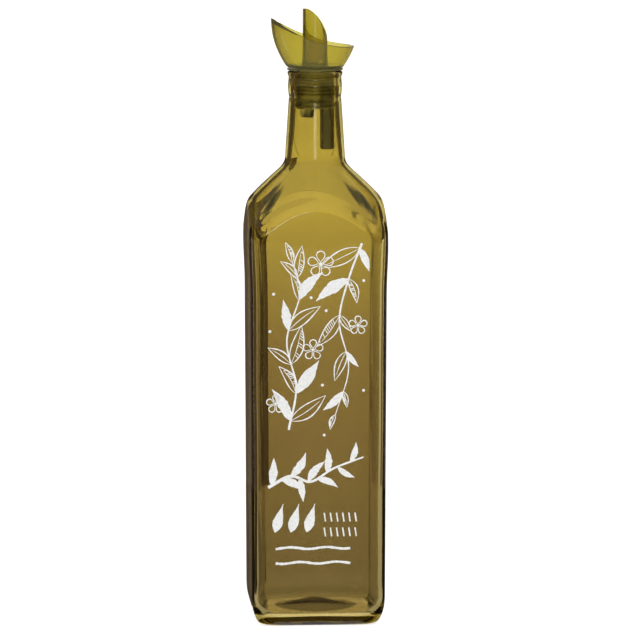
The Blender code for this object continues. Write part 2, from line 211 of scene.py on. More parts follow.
class Studio(bpy.types.PropertyGroup):
    """The plain studio round the bottle"""

    azimuth: bearing("Camera azimuth", "Camera's turn round the bottle", -3.85)
    elevation: bearing("Camera elevation", "Camera's height as an angle", 7)
    distance: length("Camera distance", "Camera's distance from the bottle's middle", 2700)
    aim: length("Aim height", "Height that the camera looks at", 164.2)
    lens: FloatProperty(name="Lens", description="Focal length", default=286.0, unit="CAMERA")
    sweep: colour("Sweep colour", "Colour of the floor and backdrop", (0.93, 0.93, 0.93))
    glow: share("Glow", "How strongly the paper glows", 0.9, 0, 5)
    # The weaker glow under the foot is painted shade where the bottle stands.
    foot_glow: share("Glow under the foot", "Share of that glow under the bottle's foot", 0.7)
    sky: share("Fill", "Strength of the even light from above", 0.25, 0, 5)
    strip: share("Strip light", "Power of the small light that the neck mirrors", 0.13, 0, 10)


def soft_max(a, b, reach):
    """The larger of two sizes, rounded off where they differ by less than reach."""
    near = max(reach - abs(a - b), 0) / reach
    return max(a, b) + near * near * reach / 4


def soft_min(a, b, reach):
    """The smaller of two sizes, rounded off in the same way."""
    return -soft_max(-a, -b, reach)


def hump(distance, reach):
    """1 at no distance, falling smoothly to 0 at reach."""
    return (1 + cos(pi * min(abs(distance) / reach, 1))) / 2


def between(low, high, steps):
    """Evenly spaced numbers from low to high, both included."""
    return [low + (high - low) * i / steps for i in range(steps + 1)]


def square_radius(angle, half, corner):
    """How far a rounded square reaches from its middle at an angle."""
    turn = angle % (pi / 2)
    turn = min(turn, pi / 2 - turn)
    middle = half - corner
    if half * sin(turn) <= middle * cos(turn):
        return half / cos(turn)
    along = middle * (cos(turn) + sin(turn))
    return along + sqrt(along * along - 2 * middle * middle + corner * corner)


def body_half(form, z):
    """Half of the body's width at a height, above the heel."""
    risen = min(max((z - form.heel_up) / (form.swell_height - form.heel_up), 0), 1)
    swell = form.swell * hump(z - form.swell_height, form.swell_reach)
    return form.half - form.taper * (1 - risen) + swell - form.swell


def dome_radius(form, z):
    """The dome's radius, held at its widest below the height where it would turn back in."""
    down = min(form.dome_top - z, form.dome_slope / (2 * form.dome_bend))
    return form.dome_radius + form.dome_slope * down - form.dome_bend * down * down


def neck_radius(form, z):
    """The neck's outside below the lip, with its bead and groove."""
    down = min(max((form.neck_taper_top - z) / (form.neck_taper_top - form.dome_top), 0), 1)
    bead = form.bead_out * hump(z - form.bead_height, form.bead_reach)
    groove = form.groove_in * hump(z - form.groove_height, form.groove_reach)
    return form.neck + (form.neck_foot - form.neck) * down + bead - groove


def outer_reach(form, angle, z):
    """The outside of the glass above the heel."""
    turned = soft_max(neck_radius(form, z), dome_radius(form, z), form.neck_fillet)
    return soft_min(turned, square_radius(angle, body_half(form, z), form.corner), form.dome_edge)


def inner_reach(form, angle, z):
    """The inside of the glass above the inner heel, with the slow waves of blown glass."""
    slant = form.wall * sqrt(1 + form.dome_slope * form.dome_slope)
    bore = form.bore + form.bore_flare * soft_max(form.bore_straight_to - z, 0, form.bore_bend)
    turned = soft_max(bore, dome_radius(form, z) - slant, form.neck_fillet)
    square = square_radius(angle, body_half(form, z) - form.wall, form.inner_corner)
    turn = angle % (pi / 2)
    aside = min(sin(min(turn, pi / 2 - turn)) / sin(radians(38)), 1)
    fade = min(max((form.even_above - z) / form.even_fade, 0), 1)
    square -= form.thicker * fade * aside * aside
    wave = sin(3 * angle + 31 * z) * sin(47 * z + 1.3) + 0.6 * sin(5 * angle - 83 * z + 0.4)
    return soft_min(turned, square, form.dome_edge) + form.flow * fade * wave


def glass_angles(form):
    """The angles of the glass's upright edges, closest round each corner."""
    middle = form.half - form.corner
    corner_start = atan2(middle, form.half)
    flat_steps, corner_steps = 13, 10
    eighth = [corner_start * i / flat_steps for i in range(flat_steps)]
    for i in range(corner_steps):
        turn = pi / 4 * i / corner_steps
        eighth.append(atan2(middle + form.corner * sin(turn), middle + form.corner * cos(turn)))
    quarter = eighth + [pi / 4] + [pi / 2 - a for a in reversed(eighth[1:])]
    return [a + side * pi / 2 for side in range(4) for a in quarter]


def ring_of(angles, z, reach):
    """A ring of points at one height, whose reach is a number or a function of the angle."""
    reaches = [reach(a) if callable(reach) else reach for a in angles]
    return [(r * cos(a), r * sin(a), z) for a, r in zip(angles, reaches)]


def glass_rings(form):
    """The glass's rings from the punt's middle over the lip to the inner floor's middle."""
    angles = glass_angles(form)
    rings = []
    for part in between(0.08, 1, 12):
        radius = form.punt_radius * part
        rings.append(ring_of(angles, form.punt_height * hump(radius, form.punt_radius), radius))
    for turn in between(0, pi / 2, 14):
        half = body_half(form, form.heel_up) - form.heel_in * (1 - sin(turn))
        corner = form.foot_corner + (form.corner - form.foot_corner) * sin(turn)
        z = form.heel_up * (1 - cos(turn))
        rings.append(ring_of(angles, z, lambda a: square_radius(a, half, corner)))
    heights = between(26, 170, 16) + between(172, 188, 8) + between(189.5, 250.5, 61)
    heights += between(254.5, 278.5, 6) + between(280, 293, 13)
    for height in heights:
        z = height * MM
        rings.append(ring_of(angles, z, lambda a: outer_reach(form, a, z)))
    lip_middle = form.height - form.lip_round
    for turn in between(-pi / 4, pi / 2, 8):
        radius = form.lip - form.lip_round * (1 - cos(turn))
        rings.append(ring_of(angles, lip_middle + form.lip_round * sin(turn), radius))
    inner_round = form.lip_round * 0.6
    for turn in between(0, pi / 2, 4):
        radius = form.bore + inner_round * (1 - sin(turn))
        rings.append(ring_of(angles, form.height - inner_round * (1 - cos(turn)), radius))
    for height in between(286.5, 252.5, 8) + between(249.5, 196.5, 53) + between(191, 23, 24):
        z = height * MM
        rings.append(ring_of(angles, z, lambda a: inner_reach(form, a, z)))
    heel_top = form.floor + form.inner_heel_up
    for turn in between(pi / 2, 0, 10):
        half = body_half(form, form.heel_up) - form.wall - form.inner_heel_in * (1 - sin(turn))
        z = heel_top - form.inner_heel_up * cos(turn)
        rings.append(ring_of(angles, z, lambda a: square_radius(a, half, form.inner_corner)))
    for part in between(0.95, 0.08, 10):
        radius = form.punt_radius * part
        z = form.floor + form.punt_height * hump(radius, form.punt_radius)
        rings.append(ring_of(angles, z, radius))
    return rings


def join_rings(mesh, rings, closed):
    """Quads between each ring and the next, and from the last to the first if closed."""
    pairs = list(zip(rings, rings[1:]))
    if closed:
        pairs.append((rings[-1], rings[0]))
    for lower, upper in pairs:
        for i in range(len(lower)):
            after = (i + 1) % len(lower)
            mesh.faces.new((lower[i], lower[after], upper[after], upper[i]))


def add_object(name, data):
    """Puts a new object into the scene."""
    made = bpy.data.objects.new(name, data)
    bpy.context.scene.collection.objects.link(made)
    return made


def mesh_data(name, mesh, closed=False):
    """Turns a bmesh into mesh data, with its faces outwards if it is closed."""
    if closed:
        bmesh.ops.recalc_face_normals(mesh, faces=mesh.faces)
        if mesh.calc_volume(signed=True) < 0:
            bmesh.ops.reverse_faces(mesh, faces=mesh.faces)
    data = bpy.data.meshes.new(name)
    mesh.to_mesh(data)
    mesh.free()
    return data


def shade(data):
    """Smooth shading that keeps the sharp edges."""
    data.shade_smooth()
    data.set_sharp_from_angle(angle=radians(40))


def add_piece(name, mesh, material):
    """Puts a closed bmesh into the scene as a smooth-shaded piece that rides on the bottle."""
    data = mesh_data(name, mesh, closed=True)
    data.materials.append(material)
    shade(data)
    piece = add_object(name, data)
    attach(piece, "root")
    return piece


def new_material(name):
    """A new material with its nodes and links."""
    material = bpy.data.materials.new(name)
    material.use_nodes = True
    return material, material.node_tree.nodes, material.node_tree.links


def place_of(nodes):
    """Where a spot of the surface lies on its object."""
    return nodes.new("ShaderNodeTexCoord").outputs["Object"]


def absorb(nodes, links, tint, depth):
    """Gives a material the colour that light picks up on its way through."""
    volume = nodes.new("ShaderNodeVolumeAbsorption")
    volume.inputs["Color"].default_value = (*tint, 1)
    volume.inputs["Density"].default_value = depth
    links.new(volume.outputs["Volume"], nodes["Material Output"].inputs["Volume"])


def height_ramp(nodes, links, stops):
    """A colour that changes with the height on the bottle, from (height, colour) pairs."""
    split = nodes.new("ShaderNodeSeparateXYZ")
    scale = nodes.new("ShaderNodeMapRange")
    ramp = nodes.new("ShaderNodeValToRGB")
    scale.inputs["From Min"].default_value = stops[0][0]
    scale.inputs["From Max"].default_value = stops[-1][0]
    links.new(place_of(nodes), split.inputs["Vector"])
    links.new(split.outputs["Z"], scale.inputs["Value"])
    links.new(scale.outputs["Result"], ramp.inputs["Fac"])
    while len(ramp.color_ramp.elements) < len(stops):
        ramp.color_ramp.elements.new(0.5)
    span = stops[-1][0] - stops[0][0]
    for element, (height, tone) in zip(ramp.color_ramp.elements, stops):
        element.position = (height - stops[0][0]) / span
        element.color = (*tone, 1)
    return ramp.outputs["Color"]


def painted_corner_shade(nodes, links, form):
    """How much painted shade shows on the glass: a dark streak lies on each corner ridge of the shoulder."""
    split = nodes.new("ShaderNodeSeparateXYZ")
    links.new(place_of(nodes), split.inputs["Vector"])

    def sums(operation, first, second=None):
        node = nodes.new("ShaderNodeMath")
        node.operation = operation
        for socket, value in zip(node.inputs, (first, second)):
            if isinstance(value, (int, float)):
                socket.default_value = value
            elif value is not None:
                links.new(value, socket)
        return node.outputs["Value"]

    def squared(value, half):
        return sums("POWER", sums("ABSOLUTE", sums("DIVIDE", value, half)), 2)

    across, deep = (sums("ABSOLUTE", split.outputs[axis]) for axis in "XY")
    beside = sums("SUBTRACT", across, deep)
    along = sums("SUBTRACT", split.outputs["Z"], form.dome_top - form.streak_down)
    reach = sums("ADD", squared(beside, form.streak_wide), squared(along, form.streak_long))
    fade = nodes.new("ShaderNodeMapRange")
    fade.inputs["From Min"].default_value = 1
    fade.inputs["From Max"].default_value = 0.3
    fade.inputs["To Max"].default_value = form.streak
    links.new(reach, fade.inputs["Value"])
    return fade.outputs["Result"]


def glass_material(form):
    """Clear glass whose tint, painted light and shade by height, deepens towards the foot, with a painted
    dark streak of shade on each shoulder corner.
    """
    material, nodes, links = new_material("olive glass")
    shader = nodes["Principled BSDF"]
    shader.inputs["Roughness"].default_value = 0.02
    shader.inputs["IOR"].default_value = 1.5
    shader.inputs["Transmission Weight"].default_value = 1
    # Painted light and shade by height: the tint is lighter over the shoulder and foot and darker low on the
    # body.
    stops = [(0.003, form.foot_shading), (0.007, form.heel_shading), (0.0115, form.curve_shading)]
    stops += [(0.02, form.heel_shading), (0.09, form.lower_shading)]
    stops += [(0.15, form.middle_shading), (0.205, form.upper_shading), (0.235, form.crown_shading)]
    darker = nodes.new("ShaderNodeMix")
    darker.data_type = "RGBA"
    links.new(height_ramp(nodes, links, stops), darker.inputs["A"])
    # Painted shade on the shoulder's corners.
    links.new(painted_corner_shade(nodes, links, form), darker.inputs["Factor"])
    darker.inputs["B"].default_value = (*form.streak_shade_colour, 1)
    links.new(darker.outputs["Result"], shader.inputs["Base Color"])
    absorb(nodes, links, form.tint, form.depth)
    return material


def pourer_material(name, stops, roughness, milk, tint, depth):
    """Faintly milky plastic from (height, colour) stops, whose roughness is a little uneven."""
    material, nodes, links = new_material(name)
    shader = nodes["Principled BSDF"]
    links.new(height_ramp(nodes, links, stops), shader.inputs["Base Color"])
    shader.inputs["IOR"].default_value = 1.49
    shader.inputs["Transmission Weight"].default_value = 1 - milk
    grain = nodes.new("ShaderNodeTexNoise")
    grain.inputs["Scale"].default_value = 300
    spread = nodes.new("ShaderNodeMapRange")
    spread.inputs["To Min"].default_value = roughness * 0.5
    spread.inputs["To Max"].default_value = roughness * 1.5
    links.new(place_of(nodes), grain.inputs["Vector"])
    links.new(grain.outputs["Fac"], spread.inputs["Value"])
    links.new(spread.outputs["Result"], shader.inputs["Roughness"])
    absorb(nodes, links, tint, depth)
    return material


def plug_stops(form):
    """The plug's colours by height: the dark tube, then the clearer plug, with painted shade on its ribs and
    flange.
    """
    end = plug_top() - form.lugs_from
    stops = [(end - 1.5 * MM, form.tube_body), (end, form.plug_body)]
    # Painted shade: a darker band on each rib, and on the flange further up.
    for depth, half in reversed(rib_places()):
        for step, tone in ((-half, form.plug_body), (0, form.rib_shade), (half, form.plug_body)):
            stops.append((plug_top() - depth + step, tone))
    stops.append((plug_top() - 2 * form.flange_thick, form.plug_body))
    stops.append((plug_top() - 1.1 * form.flange_thick, form.flange_shade))
    return stops + [(plug_top(), form.flange_shade)]


def cup_radius(form, height):
    """The outside of the drip cup at a height over its underside."""
    left = max(1 - height / form.cup_full, 0)
    return form.cup_rim - (form.cup_rim - form.cup_base) * left**form.cup_curve


def rim_at(form, angle, wall):
    """The cup rim's height at an angle, where the curved cut meets the wall."""
    height = form.rim_low
    for _ in range(40):
        x = (cup_radius(form, height) - wall) * cos(angle)
        height = (height + form.rim_low + form.rim_rise * (form.rim_low_x - x) ** 2) / 2
    return height


def cut_height(form, x):
    """The spout's slanting cut."""
    along = min(max((x - form.cut_x) / form.cut_reach, 0), 1)
    return form.cut_z + form.cut_rise * (1 - along**form.cut_power) ** (1 / form.cut_power)


def plug_top():
    """The height of the plug's upper face, where the cup stands."""
    form = bpy.context.scene.pourer_form
    return bpy.context.scene.bottle_form.height + GAP + form.flange_thick


def cup_rings(form):
    """Round the wall of the cup and its spout, from the underside out, over the rim and down."""
    base = plug_top() + GAP
    angles = [tau * i / 128 for i in range(128)]

    def bowl(height_at, wall):
        heights = [height_at(a) for a in angles]
        reach = [cup_radius(form, h) - wall for h in heights]
        return [(r * cos(a), r * sin(a), base + h) for a, r, h in zip(angles, reach, heights)]

    def cut(radius):
        xs = [radius * cos(a) for a in angles]
        return [(x, radius * sin(a), base + cut_height(form, x)) for a, x in zip(angles, xs)]

    outer_rim = {a: rim_at(form, a, 0) for a in angles}
    inner_rim = {a: rim_at(form, a, form.cup_wall) for a in angles}
    rings = [ring_of(angles, base, form.spout_bore)]
    rings.append(ring_of(angles, base, form.cup_base - 0.4 * MM))
    steps = [(i / 16) ** 1.4 for i in range(17)]
    for part in steps[1:-1] + [0.985, 1]:
        inset = 0.25 * MM if part == 1 else 0
        rings.append(bowl(lambda a: part * outer_rim[a], inset))
    for part in [1, 0.985] + steps[-2:0:-1]:
        wall = form.cup_wall - (0.25 * MM if part == 1 else 0)
        floor = form.cup_wall
        rings.append(bowl(lambda a: floor + part * (inner_rim[a] - floor), wall))
    rings.append(ring_of(angles, base + form.cup_wall, cup_radius(form, form.cup_wall) - 2.2 * MM))
    rings.append(ring_of(angles, base + form.cup_wall, form.spout_base + 0.5 * MM))
    rings.append(ring_of(angles, base + form.cup_wall + 0.5 * MM, form.spout_base))
    waist = base + 0.6 * cut_height(form, form.spout)
    rings.append(ring_of(angles, waist, form.spout))
    rings.append(cut(form.spout))
    rings.append(cut(form.spout - 0.25 * MM))
    rings.append(cut(form.spout_bore + 0.25 * MM))
    rings.append(cut(form.spout_bore))
    rings.append(ring_of(angles, waist, form.spout_bore))
    return rings


def make_cutter(name, mesh):
    """A shape that only cuts or joins, and is used up before the scene is rendered."""
    return add_object(name, mesh_data(name, mesh, closed=True))


def apply_cutters(piece, cutters):
    """Cuts or joins each shape in turn, and takes them out of the scene."""
    for cutter, operation in cutters:
        change = piece.modifiers.new(cutter.name, "BOOLEAN")
        change.operation = operation
        change.object = cutter
    bpy.context.view_layer.update()
    depsgraph = bpy.context.evaluated_depsgraph_get()
    data = bpy.data.meshes.new_from_object(piece.evaluated_get(depsgraph))
    piece.modifiers.clear()
    piece.data = data
    shade(data)
    for cutter, _ in cutters:
        bpy.data.objects.remove(cutter)


def slot_cutter(form):
    """An arch that passes through the spout's wall just above the cup's floor."""
    spring = form.slot_height - form.slot_width / 2
    arch = [(-form.slot_width / 2, 0), (form.slot_width / 2, 0)]
    for turn in between(0, pi, 16):
        arch.append((form.slot_width / 2 * cos(turn), spring + form.slot_width / 2 * sin(turn)))
    mesh = bmesh.new()
    ends = []
    for distance in (form.spout_bore * 0.6, form.spout_base + 1.5 * MM):
        ends.append([mesh.verts.new((distance, y, z)) for y, z in arch])
    join_rings(mesh, ends, closed=False)
    mesh.faces.new(reversed(ends[0]))
    mesh.faces.new(ends[1])
    lift = Matrix.Translation((0, 0, plug_top() + GAP + form.cup_wall))
    turn = Matrix.Rotation(form.slot_angle, 4, "Z")
    bmesh.ops.transform(mesh, matrix=lift @ turn, verts=mesh.verts)
    return make_cutter("slot_cutter", mesh)


def turned_loop(outline, steps, lift):
    """A bmesh turned from a closed outline of (radius, height) points round the Z axis."""
    mesh = bmesh.new()
    angles = [tau * i / steps for i in range(steps)]
    rings = []
    for radius, height in outline:
        rings.append([mesh.verts.new(p) for p in ring_of(angles, lift + height, radius)])
    join_rings(mesh, rings, closed=True)
    return mesh


def rib_places():
    """The depth and half width of each of the plug's ribs."""
    fine = [((4.6 + i * 1.75) * MM, 0.55 * MM) for i in range(6)]
    return fine + [((17.3 + i * 2.7) * MM, 1.0 * MM) for i in range(2)]


def plug_outline(form):
    """The plug's outline, with a rounded ridge for each rib."""
    top = -form.flange_thick
    outline = [(form.plug_bore, 0), (form.flange - 0.3 * MM, 0), (form.flange, -0.3 * MM)]
    outline += [(form.flange, top + 0.3 * MM), (form.flange - 0.3 * MM, top), (form.plug, top)]
    for depth, half in rib_places():
        for step in between(-1, 1, 8):
            rise = (form.rib - form.plug) * (1 - abs(step) ** 3)
            outline.append((form.plug + rise, -(depth + half * step)))
    end = -form.plug_length
    outline += [(form.plug - 0.2 * MM, end + 1 * MM), (form.plug - 1 * MM, end), (form.plug_bore, end)]
    return outline


def air_tube(form):
    """The air tube, a straight pipe with a rounded lower end."""
    end = -form.tube_end
    outline = [(form.tube_bore, -form.tube_top), (form.tube_bore, end + 0.4 * MM)]
    outline += [(form.tube_bore + 0.4 * MM, end), (form.tube - 0.8 * MM, end)]
    outline += [(form.tube - 0.25 * MM, end + 0.35 * MM), (form.tube, end + 1.2 * MM)]
    outline.append((form.tube, -form.tube_top))
    mesh = turned_loop(outline, 48, plug_top())
    bmesh.ops.transform(mesh, matrix=Matrix.Translation((form.tube_offset, 0, 0)), verts=mesh.verts)
    return make_cutter("air_tube", mesh)


def window_cutter(form, number):
    """A block that opens the plug's lower end between two lugs."""
    near, far = form.tube_offset * 0.8, form.rib + 1 * MM
    low = form.plug_length + 1 * MM
    size = (far - near, form.window, low - form.lugs_from)
    middle = ((near + far) / 2, 0, plug_top() - (low + form.lugs_from) / 2)
    place = Matrix.Rotation(radians(60 + 120 * number), 4, "Z") @ Matrix.Translation(middle)
    mesh = bmesh.new()
    bmesh.ops.create_cube(mesh, size=1, matrix=place @ Matrix.Diagonal((*size, 1)))
    return make_cutter(f"window_cutter_{number}", mesh)


class OILBOTTLE_OT_glass(bpy.types.Operator):
    """Make the glass bottle, wall and all"""

    bl_idname = "oilbottle.glass"
    bl_label = "Glass"

    def execute(self, context):
        form = context.scene.bottle_form
        mesh = bmesh.new()
        rings = [[mesh.verts.new(p) for p in ring] for ring in glass_rings(form)]
        join_rings(mesh, rings, closed=False)
        mesh.faces.new(reversed(rings[0]))
        mesh.faces.new(rings[-1])
        glass = add_piece("glass_bottle", mesh, glass_material(form))
        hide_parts("bottle")
        return {"FINISHED"}


class OILBOTTLE_OT_cup(bpy.types.Operator):
    """Make the drip cup with its spout"""

    bl_idname = "oilbottle.cup"
    bl_label = "Drip cup"

    def execute(self, context):
        form = context.scene.pourer_form
        mesh = bmesh.new()
        rings = [[mesh.verts.new(p) for p in ring] for ring in cup_rings(form)]
        join_rings(mesh, rings, closed=True)
        base = plug_top() + GAP
        stops = [(base, form.cup_body), (base + form.cup_full, form.cup_body)]
        plastic = pourer_material("cup plastic", stops, 0.03, form.milk, form.tint, form.depth)
        cup = add_piece("drip_cup", mesh, plastic)
        apply_cutters(cup, [(slot_cutter(form), "DIFFERENCE")])
        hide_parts("pourer_cup")
        return {"FINISHED"}


class OILBOTTLE_OT_plug(bpy.types.Operator):
    """Make the ribbed plug with its air tube"""

    bl_idname = "oilbottle.plug"
    bl_label = "Ribbed plug"

    def execute(self, context):
        form = context.scene.pourer_form
        mesh = turned_loop(plug_outline(form), 96, plug_top())
        stops = plug_stops(form)
        looks = (form.plug_milk, form.plug_tint, form.plug_depth)
        plastic = pourer_material("plug plastic", stops, 0.15, *looks)
        plug = add_piece("ribbed_plug", mesh, plastic)
        cutters = [(window_cutter(form, number), "DIFFERENCE") for number in range(3)]
        apply_cutters(plug, cutters + [(air_tube(form), "UNION")])
        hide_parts("pourer_plug")
        return {"FINISHED"}


class Ink:
    """Strokes of ink on the front face, drawn in millimetres across and up, each a thin closed slab."""

    def __init__(self, bottle, form):
        self.mesh = bmesh.new()
        self.bottle = bottle
        self.form = form
        self.hand = Random(11)
        self.strokes = 0

    def on_glass(self, spot, lift):
        """The place in front of a spot of the face, round the corner too, off the glass by lift."""
        x, z = self.form.aside + spot.x * MM, spot.y * MM
        middle = body_half(self.bottle, z) - self.bottle.corner
        over = min(max(abs(x) - middle, 0), self.bottle.corner)
        depth = sqrt(self.bottle.corner**2 - over**2)
        return (x, -(middle + depth + self.form.proud + lift), z)

    def stroke(self, path, width, rough=0.15):
        """A stroke along a path of spots; width gives its full width for a share of the way."""
        self.strokes += 1
        sunk = self.strokes % 4 * 0.002 * MM
        rows = []
        for i, spot in enumerate(path):
            along = path[min(i + 1, len(path) - 1)] - path[max(i - 1, 0)]
            aside = Vector((-along.y, along.x)).normalized()
            wide = width(i / (len(path) - 1)) * (1 + self.hand.uniform(-rough, rough)) / 2
            sides = [spot + aside * wide, spot - aside * wide]
            spots = [(sides[0], 0), (sides[1], 0), (sides[1], self.form.thick), (sides[0], self.form.thick)]
            rows.append([self.mesh.verts.new(self.on_glass(s, lift - sunk)) for s, lift in spots])
        for near, far in zip(rows, rows[1:]):
            for i in range(4):
                after = (i + 1) % 4
                self.mesh.faces.new((near[i], near[after], far[after], far[i]))
        self.mesh.faces.new(reversed(rows[0]))
        self.mesh.faces.new(rows[-1])

    def line(self, path, share_of_fine=1.0):
        """A fine stroke that thins out at both ends."""
        wide = self.form.fine / MM * share_of_fine
        self.stroke(path, lambda t: wide * (0.45 + 0.75 * sin(pi * t)), 0.25)

    def dot(self, middle, radius):
        path = [middle + Vector((0, radius * cos(pi * i / 8))) for i in range(9)]
        self.stroke(path, lambda t: 2 * radius * max(sin(pi * t), 0.05), 0.05)

    def leaf(self, root, angle, size, fill):
        """A slim leaf; fill is 0 for an outline, 1 for solid ink, between for hatching."""
        reach, half = size, size * 0.15
        ahead = Vector((cos(angle), sin(angle)))
        aside = Vector((-ahead.y, ahead.x))
        bend = self.hand.uniform(-0.1, 0.1) * reach
        shares = [i / 16 for i in range(17)]
        rib = [root + ahead * reach * t + aside * bend * sin(pi * t) for t in shares]
        wide = [half * sin(pi * t**0.8) for t in shares]
        if fill == 1:
            self.stroke(rib, lambda t: 2 * half * max(sin(pi * t**0.8), 0.06), 0.12)
            return
        left = [spot + aside * w for spot, w in zip(rib, wide)]
        right = [spot - aside * w for spot, w in zip(rib, wide)]
        self.line(left)
        self.line(right, 1.2)
        self.line(rib[:-3], 0.7)
        for i in range(3, 14):
            if self.hand.random() < fill:
                self.line(smooth_path([right[i], (right[i] + rib[i + 1]) / 2, rib[i + 1]], 3), 0.8)

    def sprig(self, spots, first, last, sizes, leaf_count):
        """A curved stem with leaves in pairs, between two shares of its length."""
        stem = smooth_path([Vector(spot) for spot in spots], 14)
        self.stroke(stem, lambda t: self.form.fine / MM * (2.4 - 1.5 * t))
        for i in range(leaf_count):
            t = first + (last - first) * i / (leaf_count - 1)
            place = int(t * (len(stem) - 2))
            along = stem[place + 1] - stem[place]
            heading = atan2(along.y, along.x)
            for side, size in zip((1, -1), sizes):
                turn = side * (0.75 - 0.35 * t + self.hand.uniform(-0.12, 0.12))
                grown = size * (1 - 0.35 * t) * self.hand.uniform(0.9, 1.1)
                fill = (0, 1, 0.6)[(i + (side > 0)) % 3]
                self.leaf(stem[place], heading + turn, grown, fill)
        self.leaf(stem[-1], heading, sizes[0] * 0.6, 0.6)

    def blossom(self, middle, size):
        """Five rounded petals round a dot."""
        for i in range(5):
            turn = tau * i / 5 + 0.3
            petal = []
            for step in range(13):
                round_it = tau * step / 12
                reach = size * (0.58 - 0.42 * cos(round_it))
                heading = turn + 0.5 * sin(round_it)
                petal.append(middle + reach * Vector((cos(heading), sin(heading))))
            self.line(petal)
        self.dot(middle, size * 0.14)

    def drop(self, tip, angle, size):
        """A bold drop that widens away from its tip."""
        ahead = Vector((cos(angle), sin(angle)))
        path = [tip + ahead * size * i / 16 for i in range(17)]
        bold = self.form.bold / MM * 1.5
        self.stroke(path, lambda t: bold * max(abs(sin(pi * t**1.7)) ** 0.8, 0.08), 0.06)


def smooth_path(spots, steps):
    """A smooth curve through spots, with so many steps between each two."""
    ends = [2 * spots[0] - spots[1]] + spots + [2 * spots[-1] - spots[-2]]
    path = []
    for a, b, c, d in zip(ends, ends[1:], ends[2:], ends[3:]):
        for i in range(steps):
            t = i / steps
            bend = 2 * a - 5 * b + 4 * c - d
            twist = 3 * b - a - 3 * c + d
            path.append((2 * b + (c - a) * t + bend * t**2 + twist * t**3) / 2)
    return path + [spots[-1]]


def draw_print(ink):
    """A generic design: two leafy sprigs with blossoms, then a branch, drops, ticks and stripes."""
    ink.sprig([(-15, 107), (-11, 130), (-16, 155), (-9, 180), (-13, 197)], 0.06, 0.9, (19, 25), 6)
    ink.sprig([(24, 207), (17, 188), (12, 165), (17, 140), (10, 115)], 0.05, 0.9, (14, 23), 5)
    for spot, size in (((2, 196), 7), ((-2, 150), 5.5), ((22, 163), 5), ((-22, 121), 5)):
        ink.blossom(Vector(spot), size)
    dots = [(-3, 178), (5, 171), (-25, 160), (-23, 180), (25, 128), (4, 104), (3, 131), (25, 187)]
    for spot in dots:
        ink.dot(Vector(spot), 0.8)

    bends = [(-26, 76), (-14, 82), (-3, 79), (9, 86), (25, 92)]
    garland = smooth_path([Vector(spot) for spot in bends], 14)
    ink.stroke(garland, lambda t: ink.form.bold / MM * (0.5 - 0.25 * t), 0.12)
    for i, size in enumerate((15, 14, 15, 13, 14, 12, 13, 11, 11)):
        place = 2 + 6 * i
        along = garland[place + 1] - garland[place]
        side = 1 if i % 2 == 0 else -1
        ink.leaf(garland[place], atan2(along.y, along.x) + side * 0.95, size, 1)
    for x in (-23, -14.5, -6):
        ink.drop(Vector((x + 5, 67)), radians(-106), 16)
    for z in (62, 54):
        for i in range(6):
            tick = [Vector((4 + i * 3.3 + 0.12 * step, z - 0.8 * step)) for step in range(7)]
            ink.stroke(tick, lambda t: 0.75)
    for z in (43, 35):
        path = [Vector((-22 + 4 * i, z + 0.5 * sin(1.3 * i + z))) for i in range(11)]
        ink.stroke(smooth_path(path, 5), lambda t: 1.3, 0.2)


def ink_material(form):
    """Flat white ink, faintly mottled."""
    material, nodes, links = new_material("white ink")
    shader = nodes["Principled BSDF"]
    shader.inputs["Roughness"].default_value = 0.6
    grain = nodes.new("ShaderNodeTexNoise")
    grain.inputs["Scale"].default_value = 900
    ramp = nodes.new("ShaderNodeValToRGB")
    ramp.color_ramp.elements[0].position = 0.3
    ramp.color_ramp.elements[0].color = (*[0.86 * part for part in form.ink], 1)
    ramp.color_ramp.elements[1].position = 0.55
    ramp.color_ramp.elements[1].color = (*form.ink, 1)
    links.new(place_of(nodes), grain.inputs["Vector"])
    links.new(grain.outputs["Fac"], ramp.inputs["Fac"])
    links.new(ramp.outputs["Color"], shader.inputs["Base Color"])
    return material


class OILBOTTLE_OT_print(bpy.types.Operator):
    """Make the white print on the front face"""

    bl_idname = "oilbottle.print"
    bl_label = "Print"

    def execute(self, context):
        form = context.scene.print_form
        ink = Ink(context.scene.bottle_form, form)
        draw_print(ink)
        add_piece("white_print", ink.mesh, ink_material(form))
        return {"FINISHED"}


class OILBOTTLE_OT_stage(bpy.types.Operator):
    """Make the pale sweep, the soft lights and the camera"""

    bl_idname = "oilbottle.stage"
    bl_label = "Stage"

    def execute(self, context):
        studio = context.scene.oil_studio
        make_sweep(studio)
        low = [(0.45, 0.002), (0.45, 0.22)]
        high = [(0.45, 0.22), (0.45, 0.55)]
        side = [(0.47, 0.001), (0.47, 0.4)]
        make_flag("left_flag", fan((-72, -12), low), True, 1.5)
        make_flag("left_edge_flag", fan((-12, -5.2), low), True, 0.8)
        make_flag("left_floor_flag", fan((-72, -24), [(0.12, 0.002), (0.45, 0.002)]), True, 1.8)
        make_flag("near_floor_flag", fan((-100, 75), [(0.041, 0.001), (0.47, 0.001)]), False, 1.8)
        make_flag("high_left_flag", fan((-110, -20), high), True, 0.8)
        make_flag("high_left_edge_flag", fan((-20, -4), high), False, 0.8)
        make_flag("high_right_flag", fan((33, 110), high), True, 0.8)
        make_flag("right_edge_flag", fan((4.5, 25), side), False, 4)
        make_flag("right_flag", fan((25, 75), side), False)
        make_flag("low_right_flag", fan((38, 62), low), True, 2.4)
        make_flag("front_flag", fan((75, 285), [(0.041, 0.001), (1.7, 0.001)]), False)
        far = [(1.7, 0.002), (8.9, 0.002), (8.9, 2.6)]
        make_flag("far_front_flag", fan((75, 285), far), True)
        foot = [[(x * MM, y * MM, 0.0007) for x in (-36, 36)] for y in (-34, -45)]
        make_flag("foot_flag", foot, False, 5)
        make_lights(studio)
        make_camera(studio)
        context.scene.view_settings.view_transform = "Standard"
        return {"FINISHED"}


